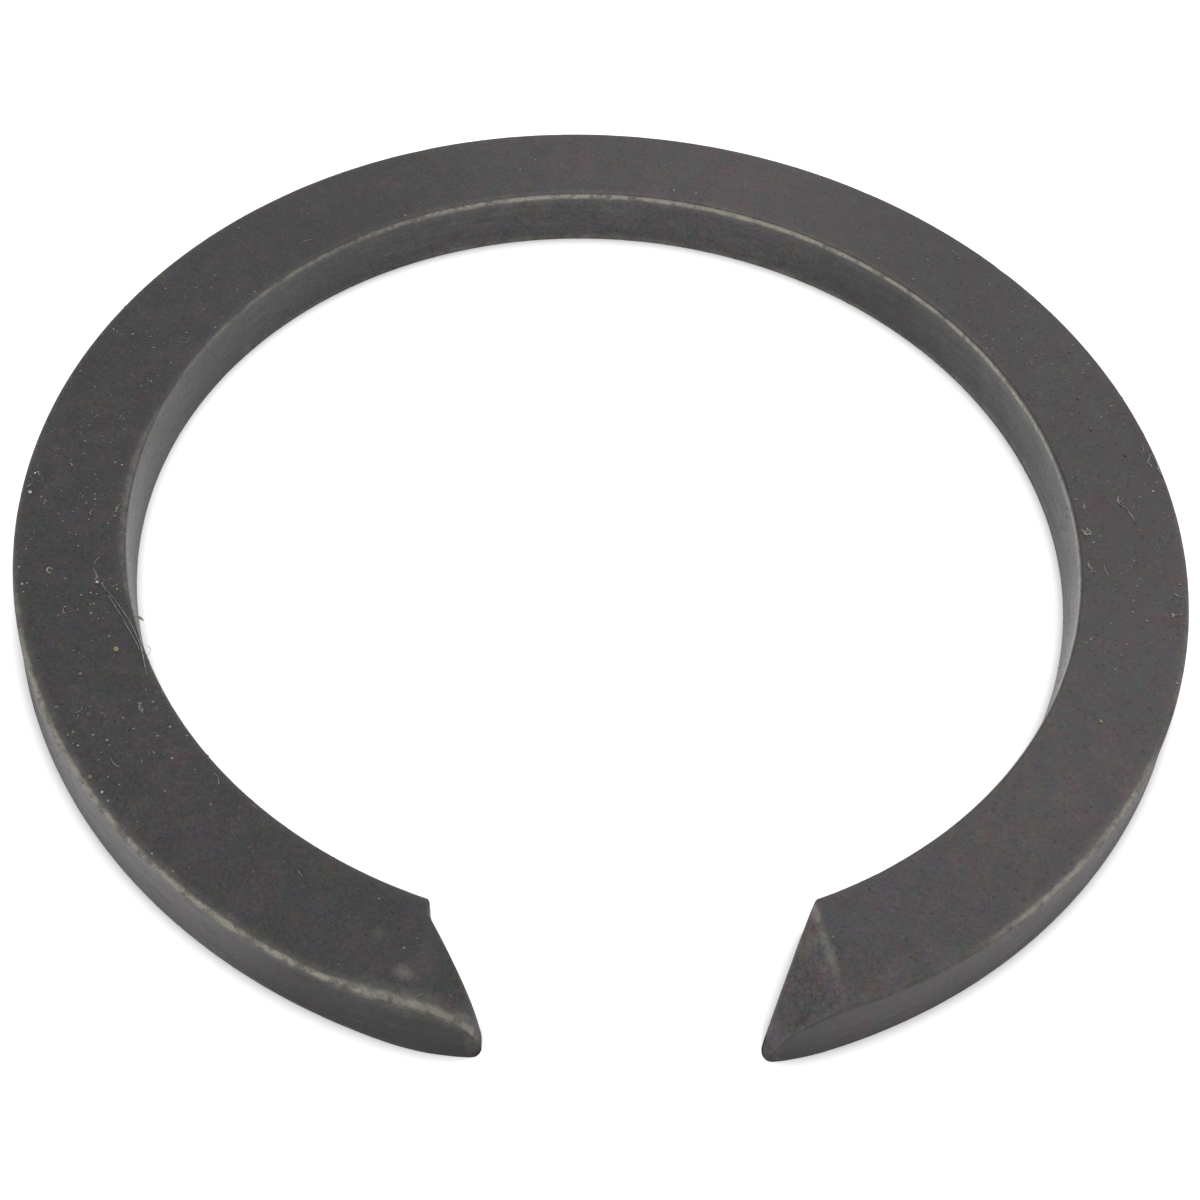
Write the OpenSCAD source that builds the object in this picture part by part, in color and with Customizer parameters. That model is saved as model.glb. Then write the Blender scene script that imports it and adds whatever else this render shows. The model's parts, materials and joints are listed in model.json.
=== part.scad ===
/* [Ring] */
// Inside diameter of the ring as it lies free
free_id = 35; // [20:0.5:60]
// Width of the band, from the inner wall to the outer wall
band_w = 4; // [2.5:0.1:6]
// Thickness of the ring, from its underside to its top face
thickness = 2.4; // [1.5:0.1:4]
// Radius that rounds the four long edges of the band
edge_r = 0.15; // [0.05:0.05:0.4]

/* [Ends] */
// Width of the gap between the two inner corners
gap_w = 12.4; // [9:0.1:16]
// Length of the short land that runs straight out from each inner corner
land_len = 0.65; // [0.2:0.05:1.2]
// Angle at which each end leans over the gap, as one side of a dovetail
dovetail_angle = 27; // [0:1:30]
// Radius that rounds each tip, seen from above
tip_r = 0.6; // [0.1:0.05:0.9]

/* [Bevels] */
// Slope at which the bevel on the top of each end starts, along its fold
bevel_angle = 6; // [2:1:12]
// Radius with which each bevel curves down from its fold to the tip
bevel_r = 2.9; // [2.8:0.1:8]
// Angle at which the fold of each bevel turns away from the gap
fold_angle = 12; // [0:1:25]

/* [Hidden] */
$fn = 96;
ring_color = [0.2, 0.2, 0.2];

inner_r = free_id / 2;
outer_r = inner_r + band_w;
half_gap = gap_w / 2;

// The gap opens along negative Y. Each end is drawn on the side of positive X, and mirrored.
inner_corner = [half_gap, -sqrt(inner_r * inner_r - half_gap * half_gap)];
land_end = inner_corner + [0, -land_len];
lean = [-sin(dovetail_angle), -cos(dovetail_angle)];

// How far the cutting shapes run past the faces that they cut
past = 1;
// How far the round of a tip runs past the outer wall, so that it crosses it cleanly
tip_overrun = 0.02;
// Number of steps in the round of a tip
tip_steps = 8;

// The round of a tip touches the leaning face and ends just outside the outer wall
centre_base = land_end + tip_r * [cos(dovetail_angle), -sin(dovetail_angle)];
centre_reach = outer_r + tip_overrun - tip_r;
tip_centre = centre_base + lean * reach(centre_base, lean, centre_reach);
face_turn = 180 - dovetail_angle;
outer_turn = 360 + atan2(tip_centre[1], tip_centre[0]);

// Distance from point p along unit direction d to the circle of radius r round the origin
function reach(p, d, r) = -(p * d) + sqrt((p * d) * (p * d) - p * p + r * r);

// Points round a tip, from the leaning face to the outer wall
function tip_round() = [
    for (i = [0 : tip_steps])
        let (turn = face_turn + (outer_turn - face_turn) * i / tip_steps)
        tip_centre + tip_r * [cos(turn), sin(turn)]
];

// Section of the band, with its four corners rounded
module band_section() {
    translate([inner_r + edge_r, 0]) square([band_w - 2 * edge_r, thickness]);
    translate([inner_r, edge_r]) square([band_w, thickness - 2 * edge_r]);
    for (x = [inner_r + edge_r, outer_r - edge_r], y = [edge_r, thickness - edge_r])
        translate([x, y]) circle(r = edge_r, $fn = 32);
}

// Half of the gap's outline, from its middle line to one end of the ring
module half_gap_outline() {
    outward = [cos(outer_turn), sin(outer_turn)];
    polygon(concat(
        [[-past, inner_corner[1] + past], [half_gap, inner_corner[1] + past], land_end],
        tip_round(),
        [(outer_r + past) * outward, [-past, -outer_r - 2 * past]]
    ));
}

// Space between the two ends
module gap() {
    translate([0, 0, -past])
        linear_extrude(thickness + 2 * past)
            for (side = [0, 1]) mirror([side, 0]) half_gap_outline();
}

// Cuts the bevel on one end: all that lies past the fold and above a round bar of radius bevel_r.
// The bar runs along the fold, and its side leaves the top face there at bevel_angle.
module bevel_cutter() {
    length = 2 * band_w;
    axis_back = bevel_r * sin(bevel_angle);
    axis_down = bevel_r * cos(bevel_angle);
    translate([land_end[0], land_end[1], thickness])
        rotate([0, 0, fold_angle - 90])
            difference() {
                translate([-length / 4, -band_w, -thickness]) cube([length, band_w, thickness + past]);
                translate([-length / 2, axis_back, -axis_down])
                    rotate([0, 90, 0]) cylinder(r = bevel_r, h = 2 * length);
            }
}

// The ring is one piece of spring steel, with a dovetail gap and a bevel on each end
module retaining_ring() {
    color(ring_color)
        difference() {
            rotate_extrude() band_section();
            gap();
            for (side = [0, 1]) mirror([side, 0, 0]) bevel_cutter();
        }
}

retaining_ring();
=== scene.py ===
"""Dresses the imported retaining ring: worn black oxide steel, dust, lint and a pale studio stage."""

import json
import math
import random

import bpy
from mathutils import Matrix, Vector


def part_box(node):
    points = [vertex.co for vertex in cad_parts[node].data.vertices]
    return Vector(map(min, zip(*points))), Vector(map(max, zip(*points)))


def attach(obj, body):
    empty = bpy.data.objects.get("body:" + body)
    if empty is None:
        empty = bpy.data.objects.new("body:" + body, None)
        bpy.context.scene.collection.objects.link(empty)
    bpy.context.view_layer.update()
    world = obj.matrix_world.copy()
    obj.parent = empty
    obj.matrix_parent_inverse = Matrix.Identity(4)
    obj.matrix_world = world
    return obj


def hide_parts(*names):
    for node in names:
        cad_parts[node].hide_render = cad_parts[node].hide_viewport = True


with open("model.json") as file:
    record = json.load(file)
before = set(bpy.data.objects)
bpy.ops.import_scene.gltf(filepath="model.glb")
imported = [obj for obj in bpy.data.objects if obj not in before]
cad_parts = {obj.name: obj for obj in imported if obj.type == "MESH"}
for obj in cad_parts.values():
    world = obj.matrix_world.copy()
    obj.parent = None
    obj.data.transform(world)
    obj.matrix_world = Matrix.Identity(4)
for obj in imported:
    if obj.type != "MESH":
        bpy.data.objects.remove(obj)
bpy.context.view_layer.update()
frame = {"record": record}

bl_info = {
    "name": "Retaining Ring",
    "version": (1, 0, 0),
    "blender": (4, 5, 0),
    "location": "View3D > Sidebar > Retaining Ring",
    "description": "Builds an open retaining ring with worn edges, dust and lint, on a pale studio floor",
    "category": "Object",
}

MM = 0.001
DIGITS = 5
SENSOR_WIDTH = 36
NODE = "retaining_ring"
BODY = "root"
RING_PIECE = "worn_ring"

RING_LOW, RING_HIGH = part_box(NODE)
SEAT = next(m for m in frame["record"]["mounts"] if m["name"] == "shaft_seat")
OUTER_RADIUS = RING_HIGH[0]
THICKNESS = RING_HIGH[2] - RING_LOW[2]
INNER_RADIUS = SEAT["dims"]["r_mm"] * MM
EDGE_ROUND = (THICKNESS - SEAT["dims"]["length_mm"] * MM) / 2


def length(name, description, default):
    """A size in metres, given in millimetres."""
    return bpy.props.FloatProperty(
        name=name, description=description, default=default * MM,
        subtype="DISTANCE", unit="LENGTH", precision=DIGITS,
    )


def angle(name, description, default):
    """An angle in radians, given in degrees."""
    return bpy.props.FloatProperty(
        name=name, description=description, default=math.radians(default), subtype="ANGLE"
    )


def colour(name, description, default):
    """A linear colour."""
    return bpy.props.FloatVectorProperty(
        name=name, description=description, default=default, size=3, min=0, max=1, subtype="COLOR"
    )


def amount(name, description, default):
    """A plain number."""
    return bpy.props.FloatProperty(name=name, description=description, default=default)


def count(name, description, default):
    """A whole number."""
    return bpy.props.IntProperty(name=name, description=description, default=default, min=0)


def both_lengths(name, description, left, right):
    """A size of the left end and of the right end, in metres, given in millimetres."""
    return bpy.props.FloatVectorProperty(
        name=name, description=description, default=(left * MM, right * MM), size=2,
        unit="LENGTH", precision=DIGITS,
    )


def both_angles(name, description, left, right):
    """An angle of the left end and of the right end, in radians, given in degrees."""
    return bpy.props.FloatVectorProperty(
        name=name, description=description, default=(math.radians(left), math.radians(right)), size=2,
        unit="ROTATION",
    )


# Sizes and finishes that a user would change


class RingSizes(bpy.types.PropertyGroup):
    """Shape of the band, and of its left and right end."""

    gap: length("Gap", "Width between the two inner corners", 12.4)
    land: both_lengths("Land", "Length of the straight land at each inner corner", 0.65, 0.05)
    dovetail: both_angles("Dovetail", "Angle at which each end leans over the gap", 27, 23.5)
    bevel: both_angles("Bevel", "Slope at which each bevel starts, along its fold", 5, 5)
    bevel_round: both_lengths("Bevel round", "Radius with which each bevel curves down to the tip", 2.46, 2.6)
    fold: both_angles("Fold", "Angle at which each fold turns away from the gap", 12, 12)
    ease: both_lengths("Ease", "How far the outer wall comes in at each tip", 0.25, 0.1)
    ease_reach: both_lengths("Ease reach", "Length over which the outer wall comes in", 2.4, 1.6)
    lean: both_lengths("Lean", "How far the outer wall leans in at its top, at each tip", 0.22, 0.05)
    low_round: length("Low round", "Radius that rounds the long edges of the underside", 0.04)
    flare: length("Flare", "How far both walls flare out at the underside", 0.12)
    tip_round: length("Tip round", "Radius of each tip, seen from above", 0.35)
    draft: length("Draft", "How much further each end reaches at its underside", 0.08)
    fold_round: length("Fold round", "Softness of the fold line", 0.12)
    end_round: length("End round", "Radius that rounds the edges of the end faces", 0.1)
    relief: length("Relief", "Depth of the unevenness of the band", 0.012)
    nick: length("Nick", "Depth of the nicks along the edges", 0.015)
    seed: count("Seed", "Seed of the unevenness and the nicks", 4)


class OxideFinish(bpy.types.PropertyGroup):
    """Colours of the black oxide and of what shows through it."""

    oxide: colour("Oxide", "Black oxide on the faces", (0.0362, 0.0345, 0.0355))
    brown: colour("Brown", "Warm patches of the oxide", (0.05, 0.0365, 0.0395))
    cool: colour("Cool", "Cool patches of the oxide", (0.0335, 0.036, 0.0385))
    # Also the colour of the painted highlight along the edges and the fold.
    bare_steel_and_highlight: colour("Bare steel", "Steel that shows through on the edges", (0.34, 0.32, 0.27))
    rust: colour("Rust", "Faint rust in the pores", (0.15, 0.07, 0.05))
    roughness: amount("Roughness", "Mean roughness of the oxide", 0.5)
    bore_roughness: amount("Bore roughness", "Mean roughness of the inner wall", 0.34)
    grain: amount("Grain", "Strength of the grain and of the mottle", 1.0)
    relief: amount("Relief", "Strength of the fine relief of the oxide", 1.0)
    # The lines along the edges and the fold are partly worn oxide and partly painted highlight.
    line: amount("Line", "Strength of the worn lines along the edges", 1.3)


class DustSettings(bpy.types.PropertyGroup):
    """Dust, lint and hair that lie on the ring."""

    specks: amount("Specks", "Dust specks on a square centimetre, where they lie thickest", 320)
    speck_size: length("Speck size", "Radius of the largest common speck", 0.06)
    fibres: amount("Fibres", "Lint fibres on a square centimetre, where they lie thickest", 34)
    fibre_length: length("Fibre length", "Length of the longest common fibre", 0.5)
    fibre_width: length("Fibre width", "Diameter of a fibre", 0.03)
    fuzz: amount("Fuzz", "Fibres on a square centimetre of wall, where the fuzz is thickest", 450)
    dust: colour("Dust", "Pale dust", (0.32, 0.31, 0.29))
    bright: colour("Bright dust", "The brightest crumbs", (0.8, 0.8, 0.78))
    straw: colour("Straw", "Yellowish crumbs", (0.42, 0.37, 0.22))
    brick: colour("Brick", "Reddish crumbs", (0.17, 0.11, 0.1))
    lint: colour("Lint", "Lint and hair", (0.38, 0.365, 0.33))
    seed: count("Seed", "Seed of the scatter", 11)


class StageSettings(bpy.types.PropertyGroup):
    """Camera, floor and light."""

    distance: length("Camera distance", "From the camera to the middle of the ring's underside", 78.95)
    elevation: angle("Camera elevation", "Height of the camera above the floor", 50.43)
    azimuth: angle("Camera azimuth", "Turn of the camera from the gap", -5.5)
    lowered: angle("Camera tilt", "How far below the ring's middle the camera looks", 1.34)
    roll: angle("Camera roll", "Roll of the camera", 4.89)
    focal: bpy.props.FloatProperty(name="Focal length", description="On a 36 mm wide sensor", default=62.5)
    floor: colour("Floor", "Pale floor", (0.9, 0.9, 0.9))
    world: amount("World", "Strength of the surrounding light", 0.72)
    lift: amount("Floor lift", "White that is added to the floor where it is seen", 0.64)
    gloss_lift: amount("Lift in gloss", "Share of the floor lift that the ring's gloss sees", 0.5)
    shadow_reach: length("Shadow reach", "How far from the ring its contact shadow fades out", 0.48)


# Node trees written as expressions


def plain(operation):
    """A method that adds a Math node for the wire, and for what else it is given."""
    return lambda self, *others: self.maths(operation, *others)


def reflected(operation):
    """A method that adds a Math node with the wire as its second value."""
    return lambda self, first: self.node("ShaderNodeMath", {"operation": operation}, {0: first, 1: self})


class Wire:
    """One socket of a node tree. Arithmetic on wires adds the Math nodes that work it out."""

    def __init__(self, tree, socket=None):
        self.tree, self.socket = tree, socket

    def node(self, kind, settings=None, inputs=None, out=0):
        """Adds a node: its settings first, then the values or links of its sockets."""
        made = self.tree.nodes.new(kind)
        for key, value in (settings or {}).items():
            setattr(made, key, value)
        for key, value in (inputs or {}).items():
            self.plug(self._find(made.inputs, key), value)
        return Wire(self.tree, self._find(made.outputs, out)) if made.outputs else made

    def plug(self, socket, value):
        """Links a wire to a socket, or sets the socket's own value."""
        if isinstance(value, Wire):
            self.tree.links.new(value.socket, socket)
        elif socket.type == "RGBA":
            socket.default_value = (*value, 1)[:4]
        else:
            socket.default_value = value

    def other(self, out):
        """Another output of the same node."""
        return Wire(self.tree, self._find(self.socket.node.outputs, out))

    @staticmethod
    def _find(sockets, key):
        """A socket by its number, name or identifier."""
        if isinstance(key, int):
            return sockets[key]
        return next(s for s in sockets if s.enabled and key in (s.name, s.identifier))

    def maths(self, operation, *others, clamp=False):
        """A Math node that starts from this wire."""
        return self.node(
            "ShaderNodeMath",
            {"operation": operation, "use_clamp": clamp},
            dict(enumerate((self, *others))),
        )

    __add__ = __radd__ = plain("ADD")
    __sub__ = plain("SUBTRACT")
    __rsub__ = reflected("SUBTRACT")
    __mul__ = __rmul__ = plain("MULTIPLY")
    __truediv__ = plain("DIVIDE")
    __rtruediv__ = reflected("DIVIDE")
    __pow__ = plain("POWER")
    __abs__ = plain("ABSOLUTE")
    __gt__ = plain("GREATER_THAN")
    __lt__ = plain("LESS_THAN")
    sin = plain("SINE")
    cos = plain("COSINE")
    asin = plain("ARCSINE")
    acos = plain("ARCCOSINE")
    sqrt = plain("SQRT")
    sign = plain("SIGN")
    least = plain("MINIMUM")
    most = plain("MAXIMUM")

    def __neg__(self):
        return self * -1

    def ramp(self, start, end):
        """0 before start, 1 after end, and straight between."""
        return ((self - start) / (end - start)).maths("ADD", 0, clamp=True)

    def smooth(self, start, end):
        """As ramp, but eased at both ends."""
        return self.node(
            "ShaderNodeMapRange",
            {"interpolation_type": "SMOOTHSTEP"},
            {"Value": self, "From Min": start, "From Max": end, "To Min": 0.0, "To Max": 1.0},
        )

    def choose(self, when_zero, when_one):
        """Mixes two numbers by this wire."""
        return when_zero + (when_one - when_zero) * self

    def tint(self, when_zero, when_one):
        """Mixes two colours by this wire."""
        return self.node(
            "ShaderNodeMix",
            {"data_type": "RGBA"},
            {"Factor_Float": self, "A_Color": when_zero, "B_Color": when_one},
            out="Result_Color",
        )

    def parts(self):
        """The three parts of a vector."""
        split = self.node("ShaderNodeSeparateXYZ", inputs={0: self})
        return split, split.other(1), split.other(2)

    def vector(self, x, y, z):
        """Three numbers as a vector."""
        return self.node("ShaderNodeCombineXYZ", inputs={0: x, 1: y, 2: z})

    def times(self, factor):
        """A vector times a number."""
        return self.node("ShaderNodeVectorMath", {"operation": "SCALE"}, {"Vector": self, "Scale": factor})

    def varied(self, amount):
        """Turns a noise colour into factors round 1."""
        least = 1 - amount / 2
        return self.node(
            "ShaderNodeVectorMath",
            {"operation": "MULTIPLY_ADD"},
            {0: self, 1: (amount, amount, amount), 2: (least, least, least)},
        )

    def dyed(self, factors):
        """A colour times three factors."""
        return self.node(
            "ShaderNodeMix",
            {"data_type": "RGBA", "blend_type": "MULTIPLY"},
            {"Factor_Float": 1.0, "A_Color": self, "B_Color": factors},
            out="Result_Color",
        )

    def noise(self, scale, detail, roughness, seed=0.0, out=0):
        """Noise at this vector. The seed is the fourth coordinate."""
        return self.node(
            "ShaderNodeTexNoise",
            {"noise_dimensions": "4D"},
            {"Vector": self, "W": seed, "Scale": scale, "Detail": detail, "Roughness": roughness},
            out=out,
        )

    def cells(self, scale):
        """Distance from the middle of the nearest cell of a cell pattern."""
        return self.node("ShaderNodeTexVoronoi", inputs={"Vector": self, "Scale": scale}, out="Distance")


# Helpers that the pieces share


def geometry_tree(name, inputs):
    """A geometry tree with a geometry input and output, and one named input for each entry."""
    tree = bpy.data.node_groups.new(name, "GeometryNodeTree")
    tree.interface.new_socket("Geometry", in_out="OUTPUT", socket_type="NodeSocketGeometry")
    tree.interface.new_socket("Geometry", in_out="INPUT", socket_type="NodeSocketGeometry")
    for label, kind in inputs.items():
        tree.interface.new_socket(label, in_out="INPUT", socket_type=kind)
    source = Wire(tree).node("NodeGroupInput", out="Geometry")
    return tree, source, {label: source.other(label) for label in inputs}


def end_tree(geometry, material):
    """Ends a geometry tree in real, smooth faces with their material."""
    real = geometry.node("GeometryNodeRealizeInstances", inputs={"Geometry": geometry})
    smooth = real.node("GeometryNodeSetShadeSmooth", inputs={0: real})
    done = smooth.node("GeometryNodeSetMaterial", inputs={"Geometry": smooth, "Material": material})
    done.node("NodeGroupOutput", inputs={"Geometry": done})


def made_by_tree(name, tree, values, start=None):
    """Runs a geometry tree on a mesh and returns the result as a plain mesh object."""
    mesh = start.copy() if start else bpy.data.meshes.new(name)
    worker = bpy.data.objects.new(name + "_worker", mesh)
    bpy.context.scene.collection.objects.link(worker)
    modifier = worker.modifiers.new(name, "NODES")
    modifier.node_group = tree
    names = {item.name: item.identifier for item in tree.interface.items_tree if item.in_out == "INPUT"}
    for label, value in values.items():
        modifier[names[label]] = value
    graph = bpy.context.evaluated_depsgraph_get()
    result = bpy.data.meshes.new_from_object(worker.evaluated_get(graph))
    bpy.data.objects.remove(worker)
    return piece(name, result)


def piece(name, mesh):
    """A new object of the ring that holds a mesh and rides on the ring's body."""
    mesh.name = name
    made = bpy.data.objects.new(name, mesh)
    bpy.context.scene.collection.objects.link(made)
    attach(made, BODY)
    return made


def new_material(name, build):
    """A material whose build function returns the values and wires of its Principled sockets."""
    material = bpy.data.materials.new(name)
    material.use_nodes = True
    tree = material.node_tree
    shader = next(n for n in tree.nodes if n.type == "BSDF_PRINCIPLED")
    start = Wire(tree)
    for key, value in build(start).items():
        start.plug(shader.inputs[key], value)
    return material


# Places that were read off the photo, in its own pixels

PHOTO_SIDE = 1200
# Worn spots: the pixel, then in millimetres the radius and how far below the top face, and the strength
WORN_SPOTS = {
    "left end, middle": ((403, 971), 0.42, 0.0, 0.3),
    "left end, outer corner": ((408, 1000), 0.5, 0.1, 0.3),
    "left end, towards the tip": ((448, 1013), 0.4, 0.5, 0.12),
    "left tip": ((461, 1025), 0.4, 1.3, 0.3),
    "left end, inner": ((380, 933), 0.3, 0.0, 0.12),
    "right fold, middle": ((830, 950), 0.3, 0.0, 0.3),
    "right bevel, inner": ((812, 938), 0.35, 0.1, 0.1),
    "right end, outer": ((868, 1002), 0.4, 0.0, 0.15),
}

# Crumbs by colour: each with its pixel and its radius in millimetres
CRUMBS = {
    "bright": (
        ((30, 492), 0.085), ((97, 582), 0.07), ((35, 473), 0.05), ((1153, 491), 0.05), ((102, 792), 0.06),
    ),
    "dust": (
        ((97, 594), 0.05), ((91, 613), 0.06), ((81, 595), 0.06), ((117, 589), 0.06), ((78, 546), 0.06),
        ((84, 454), 0.06), ((72, 465), 0.05), ((115, 516), 0.07), ((38, 444), 0.05), ((38, 472), 0.06),
        ((122, 465), 0.06), ((26, 549), 0.05), ((1173, 615), 0.08), ((1147, 621), 0.06), ((1084, 506), 0.09),
        ((1086, 532), 0.08), ((1089, 567), 0.07), ((123, 718), 0.07), ((93, 735), 0.06), ((68, 735), 0.06),
        ((1140, 497), 0.05), ((1076, 499), 0.06), ((404, 948), 0.06), ((1133, 612), 0.06),
        ((107, 740), 0.06), ((153, 702), 0.07), ((108, 801), 0.07), ((1177, 683), 0.07),
    ),
    "straw": (
        ((116, 649), 0.12), ((1101, 721), 0.08), ((22, 584), 0.07), ((1036, 356), 0.06), ((90, 777), 0.09),
        ((170, 727), 0.07),
    ),
    "brick": (((1078, 398), 0.09), ((1091, 429), 0.09), ((1070, 352), 0.07), ((1125, 455), 0.08)),
}
# Strands: pixels along each, and its width in millimetres
STRANDS = {
    "hair": (((94, 570), (103, 587), (115, 606), (127, 626), (138, 646), (141, 654)), 0.035),
    "hair, second": (((101, 583), (117, 603), (131, 624), (140, 645), (145, 667)), 0.028),
    "hair, third": (((126, 533), (128, 560), (131, 596), (139, 634), (147, 676)), 0.028),
    "hair, end": (((93, 569), (96, 574), (95, 580)), 0.06),
    "tuft": (((134, 616), (139, 618), (143, 621)), 0.07),
    "fluff, left": (((52, 570), (49, 568), (47, 570), (50, 573)), 0.06),
    "fluff, low left": (((139, 703), (141, 707), (142, 711)), 0.09),
    "fluff, upper left": (((92, 510), (90, 513), (93, 515)), 0.05),
    "fluff, edge": (((120, 504), (117, 508), (116, 512)), 0.06),
    "fibre, low left": (((66, 606), (63, 609), (64, 613)), 0.05),
    "hook": (((30, 476), (32, 479), (31, 484), (27, 487)), 0.05),
    "curl": (
        ((1115, 500), (1119, 502), (1122, 498), (1120, 496), (1118, 500), (1121, 505), (1125, 507)), 0.05,
    ),
    "curl, tail": (((1122, 503), (1126, 509), (1132, 517), (1137, 525)), 0.045),
    "fibre, upper right": (((1147, 452), (1150, 457), (1148, 462), (1152, 467)), 0.05),
    "fibre, upper right, second": (((1151, 455), (1156, 462), (1159, 470), (1163, 477)), 0.045),
    "loop": (((1181, 584), (1176, 586), (1174, 591), (1177, 596), (1183, 597)), 0.05),
    "splinter": (((1088, 564), (1092, 569), (1096, 572)), 0.09),
    "scrap": (((1082, 530), (1086, 534), (1090, 533), (1087, 529)), 0.07),
    "scrap, right": (((1172, 617), (1176, 615), (1181, 614)), 0.07),
    "right wall, top": (((1083, 503), (1085, 507), (1082, 509)), 0.06),
}
# Where fuzz grows out of the walls: its middle and its reach in millimetres
FUZZ_PLACES = {
    "outer wall, left": ((30, 715), 1.6),
    "outer wall, low left": ((60, 765), 1.4),
    "inner wall, left": ((135, 640), 1.3),
    "inner wall, right": ((1058, 500), 1.2),
    "inner wall, low right": ((1060, 655), 1.6),
}


def camera_pose():
    """Place and turn of the camera."""
    stage = bpy.context.scene.ring_stage
    turn = Matrix.Rotation(stage.azimuth, 4, "Z")
    away = Vector((0, -math.cos(stage.elevation), math.sin(stage.elevation))) * stage.distance
    tilt = Matrix.Rotation(math.pi / 2 - stage.elevation - stage.lowered, 4, "X")
    roll = Matrix.Rotation(stage.roll, 4, "Z")
    return turn @ Matrix.Translation(away) @ tilt @ roll


def on_top(pixel, above=0.0):
    """The place on the ring's top face that is seen at a pixel of the photo."""
    pose = camera_pose()
    reach = SENSOR_WIDTH / bpy.context.scene.ring_stage.focal / PHOTO_SIDE
    across, down = (part - PHOTO_SIDE / 2 for part in pixel)
    ray = pose.to_3x3() @ Vector((across * reach, -down * reach, -1))
    start = pose.translation
    return start + ray * ((RING_HIGH[2] + above - start.z) / ray.z)


# Materials

# Marks that the band's tree stores on every point, all in millimetres but the wall: distance from the
# nearest long edge, -1 on the inner wall and 1 on the outer one, distance past the fold, and distance
# from the rim of the end face
MARKS = ("edge", "wall", "fold", "rim")
# Distance past the fold that the lower half of the band is given, so that it shows no fold
UNDER = -60.0
# Depth of the fine relief of the oxide
RELIEF_DEPTH = 0.03 * MM

# Noises by name: scale, detail, roughness and seed
NOISES = {
    "clouds": (0.16, 3.0, 0.55, 0.0),
    "mottle": (1.1, 4.0, 0.62, 2.0),
    "blotch": (1.9, 2.0, 0.5, 7.0),
    "grain": (7.0, 4.0, 0.9, 3.0),
    "rust": (0.75, 3.0, 0.6, 5.0),
    "dye": (1.6, 4.0, 0.8, 31.0),
    "fine dye": (7.0, 3.0, 0.9, 33.0),
    "streaks": (1.0, 3.0, 0.75, 21.0),
    "scuffs": (2.6, 4.0, 0.75, 14.0),
    "wobble": (2.4, 3.0, 0.7, 8.0),
    "breaks": (1.6, 4.0, 0.8, 9.0),
    "smear": (2.6, 2.0, 0.8, 17.0),
    "patches": (0.5, 2.0, 0.6, 41.0),
}

# Stretches of the ring by place: turn of the middle and spread in degrees, and how much they add
# Lines along the top edges, partly rubbed-off oxide and partly painted highlight: inside lightest at the back
# and on the right, outside on the low left and the low right.
INNER_WEAR_AND_HIGHLIGHT = {
    "back": (90, 70, 0.35), "back, brightest": (97, 22, 0.35), "back right": (44, 40, 0.4),
    "right": (6, 42, 0.4),
}
OUTER_WEAR_AND_HIGHLIGHT = {"low left": (228, 44, 0.9), "low right": (316, 16, 0.55), "right": (-22, 34, 0.1)}
SUNK_LINE = {"right": (0, 38, 0.12), "left": (180, 18, -0.25)}
# Painted light and shade on the oxide's tone: lighter at the low right and at the back, standing in for the
# gloss of the back lamp and the backdrop, and darker at the upper right.
PAINTED_LIGHT_AND_SHADE = {"low right": (-48, 44, 0.34), "upper right": (30, 40, -0.2), "back": (84, 38, 0.34)}
DUSTY = {"left": (192, 62, 0.8), "right": (12, 55, 0.8)}


def stretch(x, y, turn, spread):
    """1 on the stretch of the ring round a turn in degrees, falling to 0 at the spread on either side."""
    turn, spread = math.radians(turn), math.radians(spread)
    along = (x * math.cos(turn) + y * math.sin(turn)) / (x * x + y * y).sqrt()
    return along.smooth(math.cos(spread), math.cos(spread / 4))


def along_ring(x, y, base, stretches):
    """A value along the ring: the base, and what each stretch adds to it."""
    for turn, spread, added in stretches.values():
        base = base + stretch(x, y, turn, spread) * added
    return base


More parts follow.
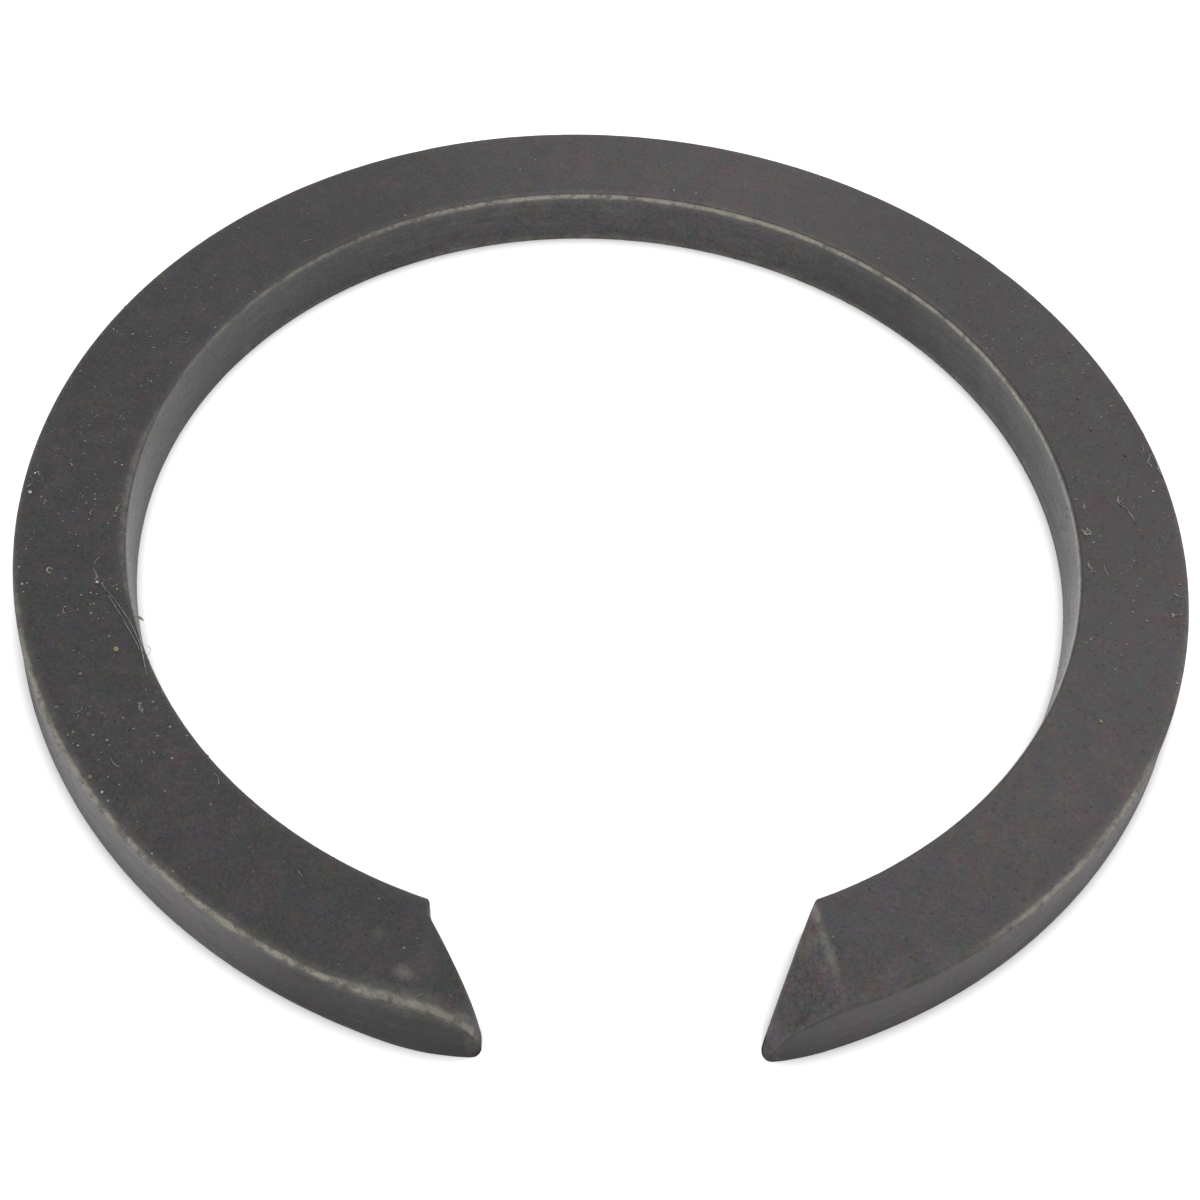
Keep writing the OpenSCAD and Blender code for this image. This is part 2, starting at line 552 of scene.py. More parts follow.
def worn_and_highlight_lines(place, marks):
    """Lines along the edges and folds, partly rubbed-off oxide and partly painted highlight, and a few rubbed
    spots on the ends.
    """
    edge, wall, fold, rim = marks
    x, y, z = place.parts()
    outer_half = (x * x + y * y).sqrt() > (INNER_RADIUS + OUTER_RADIUS) / 2 / MM
    # How strong the lines are round the ring, as rubbed-off oxide and painted highlight together, and weaker
    # below a third of the height.
    inner_wear_and_highlight = along_ring(x, y, 0.2, INNER_WEAR_AND_HIGHLIGHT)
    outer_wear_and_highlight = along_ring(x, y, 0.1, OUTER_WEAR_AND_HIGHLIGHT)
    worn = outer_half.choose(inner_wear_and_highlight, outer_wear_and_highlight) * (z > THICKNESS / 3 / MM).choose(0.3, 1.0)
    wobble = (place.noise(*NOISES["wobble"]) - 0.5) * 0.16
    broken = place.noise(*NOISES["breaks"]).smooth(0.36, 0.6)
    soft_tip = stretch(x, y, 255, 12)
    sunk_in = along_ring(x, y, 0.1, SUNK_LINE)
    off_line = edge * (2 * abs(wall) - 1) - outer_half.choose(sunk_in, -0.04 - soft_tip * 0.08)
    off_line = abs(off_line) / (1 + soft_tip * 0.7)
    core = 1 - (off_line + wobble).smooth(0.02, 0.22 - stretch(x, y, 20, 50) * 0.06)
    halo = 1 - (off_line + wobble * 3).smooth(0.08, 0.5)
    line = core * (0.15 + broken * 0.8) * worn * (1 - soft_tip * 0.4) + halo * worn * 0.13

    on_face = (1 - abs(wall)) * (fold > UNDER / 2)
    right = x > 0
    # A painted highlight along the fold line, partly rubbed-off oxide too: broken like the edge lines, strong
    # on the right end, faint on the left, fading towards the outer edge.
    fold_wear_and_highlight = 1 - (abs(fold - 0.12) + wobble * 0.7).smooth(0.0, 0.24)
    fading = 1 - (x * x + y * y).sqrt().smooth(18.4, 21.0) * 0.85
    line = line.most(fold_wear_and_highlight * on_face * fading * (0.2 + broken * 0.8) * right.choose(0.03, 0.36))
    line = line.most((1 - (rim + wobble).smooth(0.03, 0.2)) * broken * 0.1)
    line = line * bpy.context.scene.oxide_finish.line
    smear = (place.noise(*NOISES["smear"]) - 0.5) * 1.6
    for pixel, size, below, strength in WORN_SPOTS.values():
        middle = on_top(pixel, -below * MM) / MM
        away = ((x - middle.x) ** 2 + (y - middle.y) ** 2).sqrt()
        line = line.most((1 - (away + smear * size).smooth(0.0, size * 1.1)) * on_face * strength)
    return line


def oxide_sockets(start):
    """Worn black oxide: cloudy, mottled and finely grained, with steel showing through on the edges, partly
    where the oxide is rubbed off and partly as a painted highlight, and with painted light and shade by
    place.
    """
    finish = bpy.context.scene.oxide_finish
    place = start.node("ShaderNodeTexCoord", out="Object").times(1 / MM)
    marks = [start.node("ShaderNodeAttribute", {"attribute_name": mark}, out="Fac") for mark in MARKS]
    x, y, z = place.parts()
    wall, fold = marks[1:3]
    bore, outside, walls = (-wall).ramp(0.0, 1.0), wall.ramp(0.0, 1.0), abs(wall)
    bevelled = fold.smooth(-0.05, 0.3) * (1 - walls)

    clouds, mottle, blotch, grain, rust = (
        place.noise(*NOISES[name]) for name in ("clouds", "mottle", "blotch", "grain", "rust")
    )
    pores = place.cells(4.2)
    warm = mottle.smooth(0.47, 0.68) * 0.75 + stretch(x, y, 10, 130) * 0.4
    warm = (warm + outside * stretch(x, y, 222, 32) * 0.8) * (1 - bore * 0.75)
    oxide = warm.least(1).tint(tuple(finish.oxide), tuple(finish.brown))
    oxide = (blotch.smooth(0.54, 0.7) * 0.6).tint(oxide, tuple(finish.cool))
    rust_spots = rust.smooth(0.6, 0.72) * grain.smooth(0.4, 0.7)
    oxide = (rust_spots * 0.25).tint(oxide, tuple(finish.rust))
    for dye, strength in (("dye", 1.4), ("fine dye", 1.3)):
        oxide = oxide.dyed(place.noise(*NOISES[dye], out="Color").varied(finish.grain * strength))

    shade = 0.76 + clouds * 0.4 + (mottle - 0.5) * 1.1 + (grain - 0.5) * 4.0 * finish.grain
    # Painted light and shade by place: lighter at the low right and the back, darker at the upper right.
    shade = shade * along_ring(x, y, 1, PAINTED_LIGHT_AND_SHADE)
    # Painted shade: the tone of the outer wall at the front, just left of the gap, cut by up to half.
    shade = shade * (1 - outside * stretch(x, y, 255, 34) * 0.5)
    # Painted light: the inner wall 30 % lighter, standing in for the floor that it reflects at a grazing
    # view, and the right bevel 55 % lighter, standing in for the light on its tilted face.
    shade = shade * (1 + bore * 0.3) * (1 + bevelled * (x > 0).choose(0.0, 0.55))
    around = start.vector(y.maths("ARCTAN2", x) * 7, z * 4, wall)
    streaks = around.noise(*NOISES["streaks"])
    shade = shade * (1 + walls * (streaks - 0.5) * 1.1)
    shade = shade.most(0.15)
    # The oxide's colour times its tone, which holds the painted light and shade.
    oxide = oxide.dyed(start.vector(shade, shade, shade))

    scuffs = place.noise(*NOISES["scuffs"]).smooth(0.66, 0.8) * 0.16
    scuffs = scuffs.most(streaks.smooth(0.58, 0.74) * walls * 0.16)
    # Steel colour where the oxide is rubbed off, on the painted highlight along the edges and the fold, and
    # on scuffs.
    wear_and_highlight = worn_and_highlight_lines(place, marks).most(scuffs)
    gloss = bore * (0.1 + stretch(x, y, -4, 60) * 0.38) + outside * stretch(x, y, 221, 22) * 0.5
    gloss = gloss * (1 + (streaks - 0.5) * 2.2 + (mottle - 0.5) * 1.6)
    rough = bore.choose(finish.roughness, finish.bore_roughness)
    rough = rough + (grain - 0.5) * 0.9 + (mottle - 0.5) * 0.4 - wear_and_highlight * 0.12
    height = grain * 0.6 + mottle * 0.5 - pores.smooth(0.3, 0.05) * 0.5
    relief = {"Strength": finish.relief, "Distance": RELIEF_DEPTH, "Height": height}
    return {
        "Base Color": wear_and_highlight.tint(oxide, tuple(finish.bare_steel_and_highlight)),
        "Roughness": rough.most(0.2).least(0.85),
        "Metallic": wear_and_highlight * 0.4,
        "Coat Weight": gloss.most(0),
        "Coat Roughness": 0.35,
        "Normal": start.node("ShaderNodeBump", inputs=relief, out="Normal"),
    }


def pale_sockets(shade, uneven):
    """A pale, dull finish for dust and lint, uneven in tone."""

    def build(start):
        place = start.node("ShaderNodeTexCoord", out="Object").times(1 / MM)
        tone = place.noise(uneven, 2.0, 0.6).smooth(0.3, 0.7)
        dull = tuple(part * 0.45 for part in shade)
        return {"Base Color": tone.tint(dull, tuple(shade)), "Roughness": 0.8 + tone * 0.1}

    return build


# The ring


# Steps along half of the ring: the body, the end, the round of the rim, and the end face
BODY_STEPS = 330
END_STEPS = 45
ROUND_STEPS = 6
CAP_STEPS = 10
HALF_STEPS = BODY_STEPS + END_STEPS + ROUND_STEPS + CAP_STEPS
# Length of the end steps from each end face, in millimetres
END_REACH = 4.5
# Each bevel runs out in a low foot at its tip. These areas set its height and how softly it starts
LEAST_ARC = 0.05 * MM ** 2
FOOT_BLEND = 0.25 * MM ** 2
# Share of the thickness above which a point of the band counts as its upper half
UPPER_FROM = 0.45
# Distance from the rim, in millimetres, that the middle of each end face is marked with
CAP_RIM = 1.5
# Points that lie closer than this become one
WELD = 0.001 * MM
# Steps round the section: top face, outer top corner, outer wall, and so on round to the inner top corner
SECTION_STEPS = (28, 7, 14, 7, 24, 7, 14, 7)

# Named inputs of the band's tree: those of the whole band, and those that each end has of its own
BAND_INPUTS = (
    "Inner Radius", "Outer Radius", "Thickness", "Edge Round", "Low Round", "Flare", "Gap", "Tip Round",
    "Draft", "Fold Round", "End Round", "Relief", "Nick", "Seed",
)
END_INPUTS = ("Land", "Dovetail", "Bevel", "Bevel Round", "Fold", "Ease", "Ease Reach", "Lean")
SIDES = ("Left", "Right")


def section_walk(turn, inner, outer, thickness, top_round, low_round):
    """Walks once round the rounded section, in finer steps near its corners. Returns radius and height."""
    total = sum(SECTION_STEPS)
    stops = [sum(SECTION_STEPS[:i]) / total for i in range(len(SECTION_STEPS) + 1)]
    top, outer_top, wall, outer_low, low, inner_low, bore, inner_top = (
        turn.ramp(start, end) for start, end in zip(stops, stops[1:])
    )
    swing = math.pi / 2 - (outer_top + outer_low + inner_low + inner_top) * (math.pi / 2)
    sunk = wall - bore
    corner = sunk.choose(top_round, low_round)
    across = ((low * math.pi).cos() - (top * math.pi).cos()) / 2
    radius = inner + corner + (outer - inner - 2 * corner) * across + corner * swing.cos()
    height = sunk.choose(thickness - top_round, low_round) + corner * swing.sin()
    return radius, height


def end_line(radius, outer, tip, dovetail, half_gap, reach_down):
    """Half-angle, from the middle of the gap, at which the material starts at each radius."""
    to_face = half_gap * dovetail.cos() + reach_down * dovetail.sin()
    land = (half_gap / radius).asin()
    lean = (to_face / radius).asin() - dovetail
    centre = outer - tip
    centre_angle = ((to_face + tip) / centre).asin() - dovetail
    swing = ((radius * radius + centre * centre - tip * tip) / (2 * radius * centre)).least(1)
    round_start = (centre * centre - 2 * tip * to_face - tip * tip).sqrt()
    return (radius > round_start).choose(land.least(lean), centre_angle - swing.acos())


def band_tree():
    """The band as one closed sheet: steps along the ring by steps round its section."""
    ends = [f"{side} {name}" for side in SIDES for name in END_INPUTS]
    kinds = dict.fromkeys((*BAND_INPUTS, *ends), "NodeSocketFloat")
    tree, source, inputs = geometry_tree("Ring Band", {**kinds, "Material": "NodeSocketMaterial"})
    inner, outer, thickness = inputs["Inner Radius"], inputs["Outer Radius"], inputs["Thickness"]
    grid = source.node(
        "GeometryNodeMeshGrid",
        inputs={
            "Size X": 2.0,
            "Size Y": 1.0,
            "Vertices X": 2 * HALF_STEPS + 1,
            "Vertices Y": sum(SECTION_STEPS) + 1,
        },
        out="Mesh",
    )
    # The grid's X counts the steps from the back of the ring to either end, and its Y goes round the section
    across, turn, _ = source.node("GeometryNodeInputPosition").parts()
    side, step = across.sign(), abs(across) * HALF_STEPS
    land, dovetail, bevel, bevel_round, fold, ease, ease_reach, lean = (
        (side > 0).choose(inputs["Left " + name], inputs["Right " + name]) for name in END_INPUTS
    )
    starts = (0, BODY_STEPS, BODY_STEPS + END_STEPS, HALF_STEPS - CAP_STEPS, HALF_STEPS)
    body, end, rounding, cap = (step.ramp(low, high) for low, high in zip(starts, starts[1:]))

    # Distance back from the end face, and how far its rim is rounded in
    end_round = inputs["End Round"]
    quarter = rounding * (math.pi / 2)
    inset = end_round * (1 - quarter.cos())
    back = end_round * (1 - quarter.sin()) + (END_REACH * MM - end_round) * (1 - end)

    # Place in the section, drawn in towards its middle on the end face
    eased = outer - ease * (1 - back / ease_reach).most(0) ** 2
    rounds = inputs["Edge Round"], inputs["Low Round"]
    radius, height = section_walk(turn + 0.5, inner, eased, thickness, *rounds)
    middle, half_width = (inner + eased) / 2, (eased - inner) / 2
    to_wall, to_face = (radius - inner).least(eased - radius), height.least(thickness - height)
    wall = (to_face > to_wall) * (radius > middle).choose(-1.0, 1.0)
    outward = (radius - middle) / half_width
    lean_in = lean * (1 - back / (END_REACH * MM)).most(0) * (outward / 2 + 0.5) ** 2 * (height / thickness)
    shift = outward * inputs["Flare"] * (1 - height / thickness) ** 3 - lean_in
    radius = middle + (radius - middle) * (1 - inset / half_width) * (1 - cap)
    height = thickness / 2 + (height - thickness / 2) * (1 - 2 * inset / thickness) * (1 - cap)
    upper = height > thickness * UPPER_FROM

    # Turn along the ring, so that the last steps follow the outline of the end
    half_gap = inputs["Gap"] / 2
    reach_down = (inner * inner - half_gap * half_gap).sqrt() + land
    start = end_line(radius, outer - ease, inputs["Tip Round"], dovetail, half_gap, reach_down)
    reach = back - inputs["Draft"] * (1 - height / thickness)
    half_angle = math.pi + (start + reach / middle - math.pi) * body
    radius = radius + shift * (1 - cap)

    # The bevel lowers everything past the fold
    across_gap, down = radius * half_angle.sin(), radius * half_angle.cos()
    past_fold = (half_gap - across_gap) * fold.cos() + (down - reach_down) * fold.sin()
    fold_round = inputs["Fold Round"]
    along = (past_fold + (past_fold * past_fold + fold_round * fold_round).sqrt()) / 2
    along = along + bevel_round * bevel.sin()
    rest = bevel_round * bevel_round - along * along - LEAST_ARC
    arc = ((rest + (rest * rest + FOOT_BLEND * FOOT_BLEND).sqrt()) / 2 + LEAST_ARC).sqrt()
    height = height * (1 - (bevel_round * bevel.cos() - arc) / thickness)
    place = source.vector(across_gap * side, -down, height)
    from_rim = back / MM + cap * CAP_RIM
    marks = ((to_wall + to_face) / MM, wall, upper.choose(UNDER, past_fold / MM), from_rim)
    marked = grid
    for name, value in zip(MARKS, marks):
        marked = stored(marked, name, value)
    placed = marked.node("GeometryNodeSetPosition", inputs={"Geometry": marked, "Position": place})
    closed = placed.node("GeometryNodeMergeByDistance", inputs={"Geometry": placed, "Distance": WELD})
    end_tree(uneven(closed, inputs), inputs["Material"])
    return tree


def stored(geometry, name, value):
    """Stores a number on every point of a mesh."""
    return geometry.node(
        "GeometryNodeStoreNamedAttribute",
        {"data_type": "FLOAT", "domain": "POINT"},
        {"Geometry": geometry, "Name": name, "Value": value},
    )


def stored_number(source, name):
    """The number that each point of a mesh holds under a name."""
    return source.node(
        "GeometryNodeInputNamedAttribute", {"data_type": "FLOAT"}, {"Name": name}, out="Attribute"
    )


def uneven(geometry, inputs):
    """Moves the surface in and out a little, and more along its edges, where it has nicks."""
    place = geometry.node("GeometryNodeInputPosition").times(1 / MM)
    normal = geometry.node("GeometryNodeInputNormal")
    edge = 1 - stored_number(geometry, "edge").ramp(0.05, 0.25)
    wave = place.noise(0.5, 2.0, 0.5, seed=inputs["Seed"])
    ripple = place.noise(2.2, 3.0, 0.6, seed=inputs["Seed"] + 1)
    nicks = place.cells(0.42).smooth(0.2, 0.06) * edge
    depth = inputs["Relief"] * (wave * 0.8 + ripple * edge * 1.6) + inputs["Nick"] * nicks
    return geometry.node(
        "GeometryNodeSetPosition", inputs={"Geometry": geometry, "Offset": normal.times(-depth)}
    )


class RING_OT_band(bpy.types.Operator):
    """Build the ring's band and give it its worn black oxide"""

    bl_idname = "ring.band"
    bl_label = "Ring"

    def execute(self, context):
        sizes = context.scene.ring_sizes
        material = new_material("black_oxide", oxide_sockets)
        packed = (INNER_RADIUS, OUTER_RADIUS, THICKNESS, EDGE_ROUND)
        values = dict(zip(BAND_INPUTS, packed)) | {"Material": material}
        for name in BAND_INPUTS[len(packed):]:
            values[name] = float(getattr(sizes, name.lower().replace(" ", "_")))
        for name in END_INPUTS:
            for side, value in zip(SIDES, getattr(sizes, name.lower().replace(" ", "_"))):
                values[f"{side} {name}"] = value
        made = made_by_tree(RING_PIECE, band_tree(), values)
        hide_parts(NODE)
        return {"FINISHED"}


# Dust and lint

# Share of its radius by which a crumb's middle lies above the top face, and of its width for a thread
CRUMB_RISE = 0.15
THREAD_RISE = 0.4
# Lowest and highest point of a wall on which fuzz grows, in millimetres
FUZZ_HEIGHTS = (0.5, 2.1)
# Largest spin of a crumb, in radians, and how far small sizes outnumber large ones
LARGEST_SPIN = 6.28
SMALL_BIAS = 2.5
# Bends of the fibres that lie flat
FLAT_BENDS = (0.04, 0.16, 0.4)
# Bend and rise of each fibre that stands up from a wall
STANDING_BENDS = ((0.1, 0.5), (0.25, 0.2), (0.1, 0.9))
SCATTER_INPUTS = {
    "Density": "NodeSocketFloat",
    "Smallest": "NodeSocketFloat",
    "Largest": "NodeSocketFloat",
    "Width": "NodeSocketFloat",
    "Seed": "NodeSocketInt",
    "Material": "NodeSocketMaterial",
}


def random_number(source, inputs, low, high, offset=0, kind="FLOAT"):
    """A random number, or a vector of three, for each point."""
    return source.node(
        "FunctionNodeRandomValue",
        {"data_type": kind},
        {"Min": low, "Max": high, "Seed": inputs["Seed"] + offset},
        out="Value",
    )


def scatter_tree(name, shapes, where, tilt, upright=False):
    """Scatters shapes over a mesh, as thick as a function of place and height of the normal says."""
    tree, source, inputs = geometry_tree(name, SCATTER_INPUTS)
    place = source.node("GeometryNodeInputPosition").times(1 / MM)
    up = source.node("GeometryNodeInputNormal").parts()[2]
    points = source.node(
        "GeometryNodeDistributePointsOnFaces",
        inputs={"Mesh": source, "Density": inputs["Density"] * where(place, up), "Seed": inputs["Seed"]},
        out="Points",
    )
    size = random_number(source, inputs, 0.0, 1.0, 1) ** SMALL_BIAS
    size = inputs["Smallest"] + (inputs["Largest"] - inputs["Smallest"]) * size
    spin = random_number(source, inputs, (-tilt, -tilt, 0.0), (tilt, tilt, 2 * math.pi), 2, "FLOAT_VECTOR")
    if upright:
        spin = source.node(
            "FunctionNodeRotateRotation",
            {"rotation_space": "LOCAL"},
            {"Rotation": points.other("Rotation"), "Rotate By": spin},
            out="Rotation",
        )
    instances = source.node(
        "GeometryNodeInstanceOnPoints",
        inputs={
            "Points": points,
            "Instance": choice_of(source, [shape(source, inputs) for shape in shapes]),
            "Pick Instance": True,
            "Rotation": spin,
            "Scale": size,
        },
        out="Instances",
    )
    end_tree(instances, inputs["Material"])
    return tree


def choice_of(source, shapes):
    """Shapes as separate instances, for an instancer to pick from."""
    joined = source.tree.nodes.new("GeometryNodeJoinGeometry")
    for shape in reversed(shapes):
        instance = shape.node("GeometryNodeGeometryToInstance", inputs={0: shape})
        source.tree.links.new(instance.socket, joined.inputs[0])
    return Wire(source.tree, joined.outputs[0])


def crumb_tree():
    """Puts a crumb on every point of a mesh, with its size from the point."""
    kinds = {"Seed": "NodeSocketInt", "Material": "NodeSocketMaterial"}
    tree, source, inputs = geometry_tree("Crumbs", kinds)
    size = stored_number(source, "size")
    spin = random_number(source, inputs, (0.0, 0.0, 0.0), (0.0, 0.0, LARGEST_SPIN), 0, "FLOAT_VECTOR")
    instances = source.node(
        "GeometryNodeInstanceOnPoints",
        inputs={"Points": source, "Instance": speck_shape(source, inputs), "Rotation": spin, "Scale": size},
        out="Instances",
    )
    end_tree(instances, inputs["Material"])
    return tree


def speck_shape(source, inputs):
    """A flat, uneven crumb one unit in radius."""
    ball = source.node("GeometryNodeMeshIcoSphere", inputs={"Radius": 1.0, "Subdivisions": 1}, out="Mesh")
    lumps = source.node("GeometryNodeInputPosition").noise(1.3, 1.0, 0.5)
    x, y, z = source.node("GeometryNodeInputPosition").parts()
    place = source.vector(x * (0.4 + lumps * 1.2), y * (0.3 + lumps * 1.0), z * 0.4)
    return ball.node("GeometryNodeSetPosition", inputs={"Geometry": ball, "Position": place})


def fibre_shape(bend, rise=0.04):
    """Returns a function that makes a curved fibre one unit long."""

    def build(source, inputs):
        bow = source.node(
            "GeometryNodeCurvePrimitiveBezierSegment",
            inputs={
                "Resolution": 8,
                "Start": (-0.5, 0.0, 0.02),
                "Start Handle": (-0.2, bend, rise),
                "End Handle": (0.22, bend * 0.7, rise),
                "End": (0.5, -0.2 * bend, 0.02 + rise / 2),
            },
            out="Curve",
        )
        ring = source.node(
            "GeometryNodeCurvePrimitiveCircle",
            inputs={"Resolution": 4, "Radius": inputs["Width"] / inputs["Largest"]},
            out="Curve",
        )
        parts = {"Curve": bow, "Profile Curve": ring, "Fill Caps": True}
        return source.node("GeometryNodeCurveToMesh", inputs=parts, out="Mesh")

    return build


def dusty(place, up):
    """Dust and lint lie thickest on the left and on the right of the ring."""
    x, y, _ = place.parts()
    thick = along_ring(x, y, 0.12, DUSTY)
    return (up > 0.6) * thick * (0.4 + place.noise(*NOISES["patches"]).smooth(0.35, 0.65))


def fuzzy(place, up):
    """Fuzz grows out of the walls near its named places."""
    x, y, z = place.parts()
    thick = 0.0
    for pixel, reach in FUZZ_PLACES.values():
        middle = on_top(pixel) / MM
        away = ((x - middle.x) ** 2 + (y - middle.y) ** 2).sqrt()
        thick = (1 - away.smooth(reach * 0.4, reach)).most(thick)
    low, high = FUZZ_HEIGHTS
    return (abs(up) < 0.8) * (z > low) * (z < high) * thick


def crumb_mesh(crumbs):
    """A mesh of loose points, one for each crumb, that hold its size."""
    mesh = bpy.data.meshes.new("crumbs")
    mesh.from_pydata([on_top(pixel, size * MM * CRUMB_RISE) for pixel, size in crumbs], [], [])
    sizes = mesh.attributes.new("size", "FLOAT", "POINT")
    sizes.data.foreach_set("value", [size * MM for _, size in crumbs])
    return mesh


def strand_mesh(strands):
    """Smooth strands through the named places, as one mesh. A wide strand is a wisp of fine threads."""
    dust = bpy.context.scene.ring_dust
    chance = random.Random(dust.seed)
    curve = bpy.data.curves.new("strands", "CURVE")
    curve.dimensions, curve.resolution_u = "3D", 6
    curve.bevel_depth, curve.bevel_resolution, curve.use_fill_caps = MM, 1, True
    for pixels, width in strands.values():
        thread = min(width, dust.fibre_width / MM)
        for _ in range(max(1, round(3 * width / thread) - 2)):
            spline = curve.splines.new("BEZIER")
            spline.bezier_points.add(len(pixels) - 1)
            for point, pixel in zip(spline.bezier_points, pixels):
                stray = Vector([chance.gauss(0, (width - thread) * 0.6 * MM) for _ in range(2)] + [0])
                point.co = on_top(pixel, thread * MM * THREAD_RISE) + stray
                point.handle_left_type = point.handle_right_type = "AUTO"
                point.radius = thread / 2
    worker = bpy.data.objects.new("strands", curve)
    bpy.context.scene.collection.objects.link(worker)
    graph = bpy.context.evaluated_depsgraph_get()
    mesh = bpy.data.meshes.new_from_object(worker.evaluated_get(graph))
    bpy.data.objects.remove(worker)
    return mesh


class RING_OT_dust(bpy.types.Operator):
    """Scatter dust and lint over the ring, and fuzz over its walls"""

    bl_idname = "ring.dust"
    bl_label = "Dust and lint"

    def execute(self, context):
        dust = context.scene.ring_dust
        band = bpy.data.objects[RING_PIECE].data
        per_area = 1 / (10 * MM) ** 2
        lint = new_material("pale_lint", pale_sockets(tuple(dust.lint), 3.0))
        specks = new_material("pale_dust", pale_sockets(tuple(dust.dust), 4.0))
        flat = [fibre_shape(bend) for bend in FLAT_BENDS]
        standing = [fibre_shape(bend, rise) for bend, rise in STANDING_BENDS]
        width, reach = dust.fibre_width / 2, dust.fibre_length
        scatters = {
            "dust_specks": (
                scatter_tree("Dust Scatter", [speck_shape], dusty, 0.3),
                (dust.specks, dust.speck_size * 0.3, dust.speck_size, width, dust.seed, specks),
            ),
            "lint_fibres": (
                scatter_tree("Lint Scatter", flat, dusty, 0.02),
                (dust.fibres, reach * 0.3, reach, width, dust.seed + 10, lint),
            ),
            "wall_fuzz": (
                scatter_tree("Fuzz Scatter", standing, fuzzy, 0.5, upright=True),
                (dust.fuzz, reach * 0.2, reach * 0.6, width * 0.5, dust.seed + 20, lint),
            ),
        }
        for name, (tree, values) in scatters.items():
            settings = dict(zip(SCATTER_INPUTS, values))
            settings["Density"] *= per_area
            made_by_tree(name, tree, settings, start=band)
        return {"FINISHED"}


class RING_OT_strays(bpy.types.Operator):
    """Lay the crumbs, hairs and scraps of lint that stand out in the photo"""

    bl_idname = "ring.strays"
    bl_label = "Stray crumbs and hairs"

    def execute(self, context):
        dust = context.scene.ring_dust
        for name, crumbs in CRUMBS.items():
            material = new_material(name + "_crumb", pale_sockets(tuple(getattr(dust, name)), 4.0))
            values = {"Seed": dust.seed, "Material": material}
            made_by_tree(name + "_crumbs", crumb_tree(), values, start=crumb_mesh(crumbs))
        mesh = strand_mesh(STRANDS)
        mesh.materials.clear()
        mesh.materials.append(bpy.data.materials["pale_lint"])
        piece("stray_strands", mesh)
        return {"FINISHED"}


# Stage

FLOOR_SIDE = 3.0
LAMP_PLACE = (0.09, 0.16, 0.2)
LAMP_SIDE = 0.16
LAMP_WATTS = 0.16
# Where the camera starts and stops seeing, in metres
CLIP = (1 * MM, 10)
# Rays that each point of the floor sends out for its contact shadow
SHADOW_RAYS = 4
# Share of open sky over the floor at which its contact shadow is full, and at which it is gone
OPEN_SKY = (0.36, 0.96)


def floor_material():
    """A pale floor that is seen as white, but keeps the ring's shadow."""
    stage = bpy.context.scene.ring_stage
    material = bpy.data.materials.new("floor")
    material.use_nodes = True
    tree = material.node_tree
    tree.nodes.clear()
    start = Wire(tree)
    seen = seen_rays(start)
    diffuse = start.node("ShaderNodeBsdfDiffuse", inputs={"Color": tuple(stage.floor)})
    open_sky = start.node(
        "ShaderNodeAmbientOcclusion", {"samples": SHADOW_RAYS}, {"Distance": stage.shadow_reach}, out="AO"
    )
    away = open_sky.ramp(*OPEN_SKY)
    glow = start.node("ShaderNodeEmission", inputs={"Color": (1.0, 1.0, 1.0), "Strength": away * stage.lift})
    lifted = start.node("ShaderNodeAddShader", inputs={0: diffuse, 1: glow})
    mixed = start.node("ShaderNodeMixShader", inputs={0: seen, 1: diffuse, 2: lifted})
    start.node("ShaderNodeOutputMaterial", inputs={"Surface": mixed})
    return material


def seen_rays(start):
    """1 for rays from the camera or through a clear material, and less for those that a gloss sends on."""
    stage = bpy.context.scene.ring_stage
    path = start.node("ShaderNodeLightPath", out="Is Camera Ray")
    return path.most(path.other("Is Transmission Ray")).most(path.other("Is Glossy Ray") * stage.gloss_lift)


def white_world():
    """An even pale surround, seen as white."""
    stage = bpy.context.scene.ring_stage
    world = bpy.data.worlds.new("studio")
    world.use_nodes = True
    world.node_tree.nodes.clear()
    start = Wire(world.node_tree)
    seen = start.node("ShaderNodeLightPath", out="Is Camera Ray")
    strength = seen.choose(stage.world, 1.0)
    sky = start.node("ShaderNodeBackground", inputs={"Color": (1.0, 1.0, 1.0), "Strength": strength})
    start.node("ShaderNodeOutputWorld", inputs={"Surface": sky})
    bpy.context.scene.world = world


def add_lamp(name, place, size, power):
    """A square soft lamp that faces the ring."""
    data = bpy.data.lights.new(name, "AREA")
    data.shape, data.size, data.energy = "SQUARE", size, power
    lamp = bpy.data.objects.new(name, data)
    lamp.location = place
    lamp.rotation_euler = (-Vector(place)).to_track_quat("-Z", "Y").to_euler()
    bpy.context.scene.collection.objects.link(lamp)


def add_camera():
    """A camera that looks at the ring from above the gap."""
    stage = bpy.context.scene.ring_stage
    data = bpy.data.cameras.new("camera")
    data.lens, data.sensor_width = stage.focal, SENSOR_WIDTH
    data.clip_start, data.clip_end = CLIP
    camera = bpy.data.objects.new("camera", data)
    camera.matrix_world = camera_pose()
    bpy.context.scene.collection.objects.link(camera)
    bpy.context.scene.camera = camera


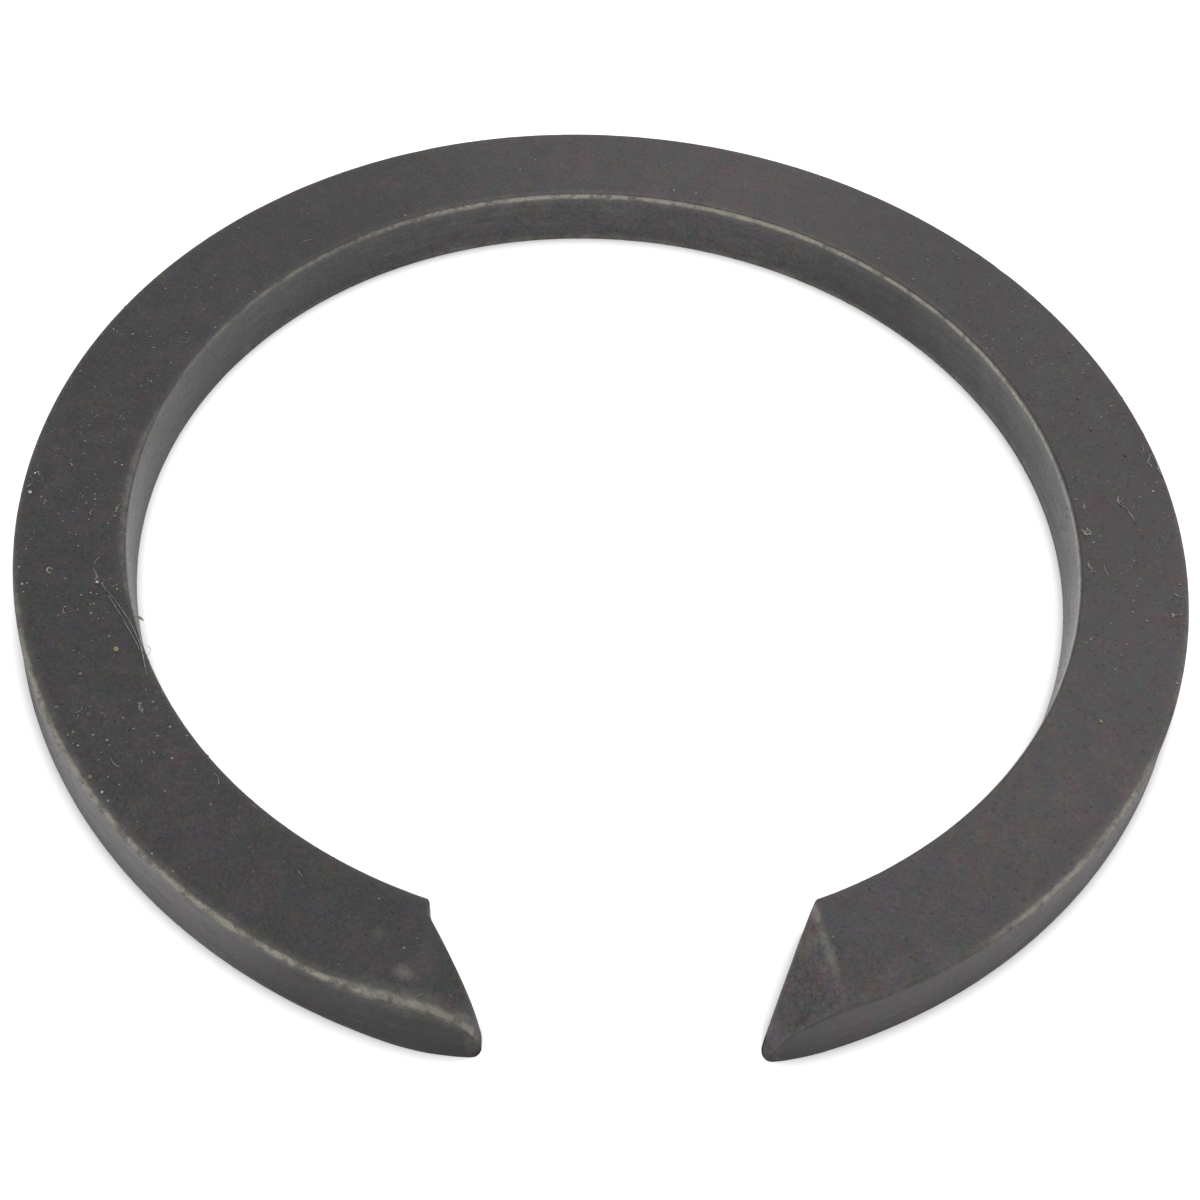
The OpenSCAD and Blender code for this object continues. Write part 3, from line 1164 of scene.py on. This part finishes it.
class RING_OT_stage(bpy.types.Operator):
    """Set up the floor, the light and the camera"""

    bl_idname = "ring.stage"
    bl_label = "Stage"

    def execute(self, context):
        half = FLOOR_SIDE / 2
        mesh = bpy.data.meshes.new("floor")
        corners = [(-half, -half, 0), (half, -half, 0), (half, half, 0), (-half, half, 0)]
        mesh.from_pydata(corners, [], [(0, 1, 2, 3)])
        mesh.materials.append(floor_material())
        floor = bpy.data.objects.new("floor", mesh)
        floor.location = (0, 0, RING_LOW[2])
        context.scene.collection.objects.link(floor)
        white_world()
        add_lamp("back_lamp", LAMP_PLACE, LAMP_SIDE, LAMP_WATTS)
        add_camera()
        context.scene.view_settings.view_transform = "Standard"
        return {"FINISHED"}


class RING_PT_panel(bpy.types.Panel):
    """Buttons for the ring, its dust and its stage"""

    bl_idname = "RING_PT_panel"
    bl_label = "Retaining Ring"
    bl_space_type = "VIEW_3D"
    bl_region_type = "UI"
    bl_category = "Retaining Ring"

    def draw(self, context):
        for operator in OPERATORS:
            self.layout.operator(operator.bl_idname)
        for group in GROUPS:
            settings = getattr(context.scene, group)
            box = self.layout.box()
            for name in settings.bl_rna.properties.keys():
                if name not in {"rna_type", "name"}:
                    box.prop(settings, name)


OPERATORS = (RING_OT_band, RING_OT_dust, RING_OT_strays, RING_OT_stage)
GROUPS = {
    "ring_sizes": RingSizes,
    "oxide_finish": OxideFinish,
    "ring_dust": DustSettings,
    "ring_stage": StageSettings,
}


def register():
    """Registers the settings, the operators and the panel."""
    for name, group in GROUPS.items():
        bpy.utils.register_class(group)
        setattr(bpy.types.Scene, name, bpy.props.PointerProperty(type=group))
    for operator in OPERATORS:
        bpy.utils.register_class(operator)
    bpy.utils.register_class(RING_PT_panel)


def unregister():
    """Takes everything that register adds away again."""
    bpy.utils.unregister_class(RING_PT_panel)
    for operator in reversed(OPERATORS):
        bpy.utils.unregister_class(operator)
    for name, group in GROUPS.items():
        delattr(bpy.types.Scene, name)
        bpy.utils.unregister_class(group)


def main():
    """Builds the ring, its dust and its stage."""
    register()
    for operator in OPERATORS:
        category, name = operator.bl_idname.split(".")
        getattr(getattr(bpy.ops, category), name)()


if __name__ == "__main__":
    main()
